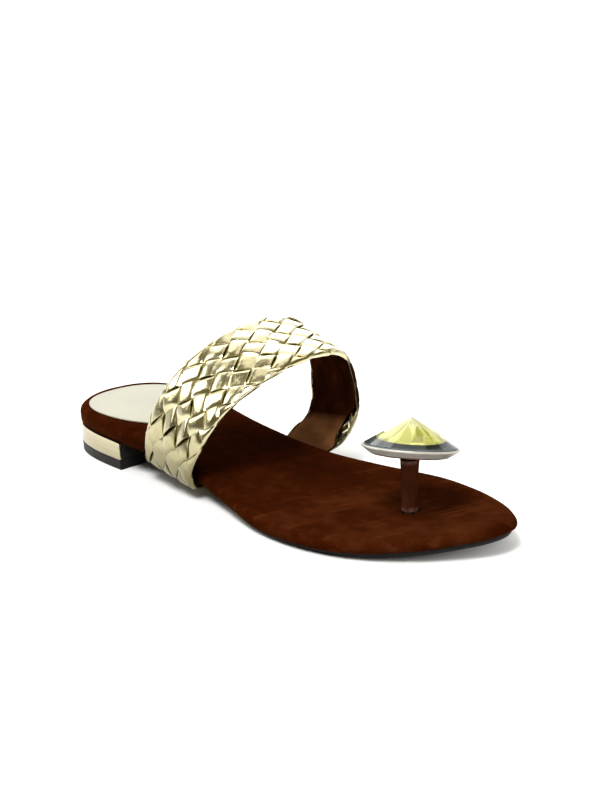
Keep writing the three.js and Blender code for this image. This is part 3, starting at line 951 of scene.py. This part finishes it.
class SANDAL_OT_toe_post(bpy.types.Operator):
    """Makes the leather toe post with its turned-out foot"""

    bl_idname = "sandal.toe_post"
    bl_label = "Toe Post"

    # How much wider the leather makes the post, below each height in millimetres: peg, foot and shaft
    WRAP = [(8.3, 1.0), (9.0, 0.88), (40.0, 1.12)]

    def execute(self, context):
        piece = copy_of_node("toe_post", "wrapped_post")
        low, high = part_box("toe_post")
        axis = (low + high) / 2
        for vertex in piece.data.vertices:
            wider = next(share for height, share in self.WRAP if vertex.co.z < height * MM)
            wrapped = axis + wider * (vertex.co - axis)
            vertex.co.xy = wrapped.xy
        crease_sharp_edges(piece, math.radians(70))
        apply_modifier(piece, "SUBSURF", levels=3, render_levels=3)
        shade_by_angle(piece, math.radians(60))
        finish_piece(piece, "toe_post", "post_leather", toe_post_finish(context.scene.sandal_colours))
        return {"FINISHED"}


class SANDAL_OT_stone(bpy.types.Operator):
    """Makes the faceted stone and the plated cup that holds it"""

    bl_idname = "sandal.stone"
    bl_label = "Stone and Cup"

    # The cup's faces that get the dark lining finish, and the stone's that are backed with foil:
    # those whose normal lies less than this much along the axis
    UNDERSIDE = -0.85
    FOIL_BACKED = 0.1
    # The heart's facets meet at these rings, in millimetres from the cup's rim along its axis
    HEART = [
        {"radius": 12.2, "z": 0.9, "points": 16, "turn": 0.0},
        {"radius": 11.6, "z": 2.0, "points": 16, "turn": 0.0},
        {"radius": 7.6, "z": 5.3, "points": 16, "turn": 0.5},
        {"radius": 3.6, "z": 8.5, "points": 8, "turn": 0.0},
        {"radius": 0.2, "z": 11.2, "points": 4, "turn": 0.0},
    ]

    def execute(self, context):
        colours = context.scene.sandal_colours
        cup = rounded_copy("gem_setting", "stone_cup", 0.12 * MM)
        finish_piece(cup, "gem_setting", "setting_metal", cup_finish(colours), lining_finish(colours))
        self.second_material(cup, self.UNDERSIDE)
        stone = copy_of_node("gem", "cut_stone")
        take_hold(stone)
        bpy.ops.object.shade_flat()
        finish_piece(stone, "gem", "stone", clear_stone_finish(), stone_back_finish(colours))
        self.second_material(stone, self.FOIL_BACKED)
        heart = self.heart()
        finish_piece(heart, "gem", "stone", stone_heart_finish(colours))
        return {"FINISHED"}

    def second_material(self, piece, steepest):
        """Gives the faces that look up the axis less than a limit the piece's second material."""
        for face in piece.data.polygons:
            face.material_index = int(face.normal.dot(HEAD_AXIS) < steepest)

    def heart(self):
        """The faceted foil heart inside the clear stone."""
        turned = HEAD_AXIS.to_track_quat("Z", "Y")
        points = []
        for ring in self.HEART:
            for k in range(ring["points"]):
                bearing = 2 * math.pi * (k + ring["turn"]) / ring["points"]
                spoke = Vector((math.cos(bearing), math.sin(bearing), 0))
                spot = ring["radius"] * spoke + Vector((0, 0, ring["z"]))
                points.append(HEAD_MIDDLE + turned @ (MM * spot))
        piece = mesh_piece("stone_heart", points, [])
        with edit_mode(piece, "VERT"):
            bpy.ops.mesh.convex_hull(join_triangles=True)
        reach = MM * self.HEART[0]["radius"]
        shares = []
        for vertex in piece.data.vertices:
            off = vertex.co - HEAD_MIDDLE
            shares.append((off - off.dot(HEAD_AXIS) * HEAD_AXIS).length / reach)
        piece.data.attributes.new("from_axis", "FLOAT", "POINT").data.foreach_set("value", shares)
        chance = random.Random(5)
        tones = [chance.random() for _ in piece.data.polygons]
        piece.data.attributes.new("facet", "FLOAT", "FACE").data.foreach_set("value", tones)
        take_hold(piece)
        bpy.ops.object.shade_flat()
        return piece


class SANDAL_OT_stage(bpy.types.Operator):
    """Makes the floor, the lights and the camera"""

    bl_idname = "sandal.stage"
    bl_label = "Stage"

    FLOOR_SIZE = 60.0
    # A white wall stands behind the shoe in a dim room: the wall's colour up to one height,
    # and the room's from another
    WALL_SIDE = (-0.16, 0.42, 0)
    ROOM = [(0.06, (1.0, 1.0, 1.0, 1)), (0.22, (0.155, 0.13, 0.06, 1))]
    # The paper is turned up all round: white up to one height, and the room from another
    SKIRT = (0.10, 0.16)
    # The half length and half width of the patch of floor that only takes shadow, and its shift
    # in those measures
    SHADE = (0.114, 0.046)
    SHADE_SHIFT = (0.14, 0.28, 0)

    def floor_finish(self):
        """White paper, lit from within far from the shoe so that it never ends in grey."""
        finish = Finish("white_paper")
        shrunk = finish.stretched((1 / self.SHADE[0], 1 / self.SHADE[1], 1), shift=self.SHADE_SHIFT)
        near = finish.add("ShaderNodeVectorMath", {0: shrunk}, operation="LENGTH").outputs["Value"]
        away = finish.add("ShaderNodeVectorMath", {0: finish.place}, operation="LENGTH").outputs["Value"]
        glow = finish.sum(finish.span(near, 1.0, 1.4, 0, 0.45), finish.span(away, 0.35, 1.2, 0, 0.8))
        finish.set(Base_Color=(0.66, 0.66, 0.66, 1), Roughness=0.9, Specular_IOR_Level=0.0)
        finish.set(Emission_Color=(1, 1, 1, 1), Emission_Strength=glow)
        return finish.material

    def softbox(self, name, direction, distance, size, watts):
        """A square area light that looks at the shoe from a direction."""
        data = bpy.data.lights.new(name, "AREA")
        data.size = size
        data.energy = watts
        light = bpy.data.objects.new(name, data)
        aim = Vector(direction).normalized()
        light.location = aim * distance
        light.rotation_euler = aim.to_track_quat("Z", "Y").to_euler()
        bpy.context.scene.collection.objects.link(light)

    def room(self):
        """A white wall behind the shoe, and a dim warm room all round it."""
        world = bpy.data.worlds.new("studio_room")
        world.use_nodes = True
        nodes = NodeTree(world.node_tree, "Background", "Generated")
        over_wall = Vector((0, 0, 1)) - Vector(self.WALL_SIDE)
        level = nodes.add("ShaderNodeVectorMath", {0: nodes.place, 1: over_wall}, operation="DOT_PRODUCT")
        room = nodes.ramp(level.outputs["Value"], self.ROOM)
        skirt = nodes.span(nodes.along("Z"), *self.SKIRT)
        nodes.set(Color=nodes.mix(skirt, (1, 1, 1, 1), room))
        bpy.context.scene.world = world

    def camera(self, stage):
        """The photograph's camera, rolled as it was."""
        turn, lift, roll = stage.azimuth, stage.elevation, stage.roll
        level = Vector((math.cos(turn), math.sin(turn), 0))
        away = Vector((math.sin(turn), -math.cos(turn), 0))
        back = away * math.cos(lift) + Vector((0, 0, math.sin(lift)))
        upright = back.cross(level)
        right = level * math.cos(roll) + upright * math.sin(roll)
        up = upright * math.cos(roll) - level * math.sin(roll)
        data = bpy.data.cameras.new("camera")
        data.sensor_fit = "VERTICAL"
        data.sensor_height = 36
        data.lens = stage.lens
        camera = bpy.data.objects.new("camera", data)
        axes = Matrix((right, up, back)).transposed().to_4x4()
        camera.matrix_world = Matrix.Translation(Vector(stage.aim) + back * stage.distance) @ axes
        bpy.context.scene.collection.objects.link(camera)
        bpy.context.scene.camera = camera

    def execute(self, context):
        stage = context.scene.sandal_stage
        deselect_all()
        bpy.ops.mesh.primitive_plane_add(size=self.FLOOR_SIZE)
        floor = context.object
        floor.name = "floor"
        floor.data.materials.append(self.floor_finish())
        self.softbox("key_light", (0.2, -0.45, 0.87), 1.3, 0.5, stage.key)
        self.softbox("top_light", (-0.25, 0.35, 0.9), 1.5, 1.0, stage.top)
        self.softbox("side_light", (-0.75, -0.35, 0.56), 1.5, 0.9, stage.side)
        self.softbox("fill_light", (0.78, -0.25, 0.57), 1.4, 0.5, stage.fill)
        self.softbox("back_light", (-0.68, 0.55, 0.5), 1.6, 1.5, stage.back)
        self.room()
        self.camera(stage)
        context.scene.view_settings.view_transform = "Standard"
        deselect_all()
        return {"FINISHED"}


PIECE_OPERATORS = (
    SANDAL_OT_footbed,
    SANDAL_OT_heel_pad,
    SANDAL_OT_sole,
    SANDAL_OT_heel_band,
    SANDAL_OT_braid,
    SANDAL_OT_lining,
    SANDAL_OT_toe_post,
    SANDAL_OT_stone,
    SANDAL_OT_stage,
)


class SANDAL_PT_panel(bpy.types.Panel):
    """Lists the sandal's pieces, sizes and colours in the sidebar"""

    bl_idname = "SANDAL_PT_panel"
    bl_label = "Toe-Post Sandal"
    bl_space_type = "VIEW_3D"
    bl_region_type = "UI"
    bl_category = "Sandal"

    def draw(self, context):
        column = self.layout.column(align=True)
        for operator in PIECE_OPERATORS:
            column.operator(operator.bl_idname)
        scene = context.scene
        for group in (scene.sandal_sizes, scene.sandal_colours, scene.sandal_stage):
            box = self.layout.box()
            for name in group.__annotations__:
                box.prop(group, name)


CLASSES = (SandalSizes, SandalColours, SandalStage, *PIECE_OPERATORS, SANDAL_PT_panel)


def register():
    for item in CLASSES:
        bpy.utils.register_class(item)
    bpy.types.Scene.sandal_sizes = bpy.props.PointerProperty(type=SandalSizes)
    bpy.types.Scene.sandal_colours = bpy.props.PointerProperty(type=SandalColours)
    bpy.types.Scene.sandal_stage = bpy.props.PointerProperty(type=SandalStage)


def unregister():
    del bpy.types.Scene.sandal_stage
    del bpy.types.Scene.sandal_colours
    del bpy.types.Scene.sandal_sizes
    for item in reversed(CLASSES):
        bpy.utils.unregister_class(item)


def main():
    """Makes every piece."""
    register()
    bpy.ops.sandal.footbed()
    bpy.ops.sandal.heel_pad()
    bpy.ops.sandal.sole()
    bpy.ops.sandal.heel_band()
    bpy.ops.sandal.braid()
    bpy.ops.sandal.lining()
    bpy.ops.sandal.toe_post()
    bpy.ops.sandal.stone()
    bpy.ops.sandal.stage()


if __name__ == "__main__":
    main()
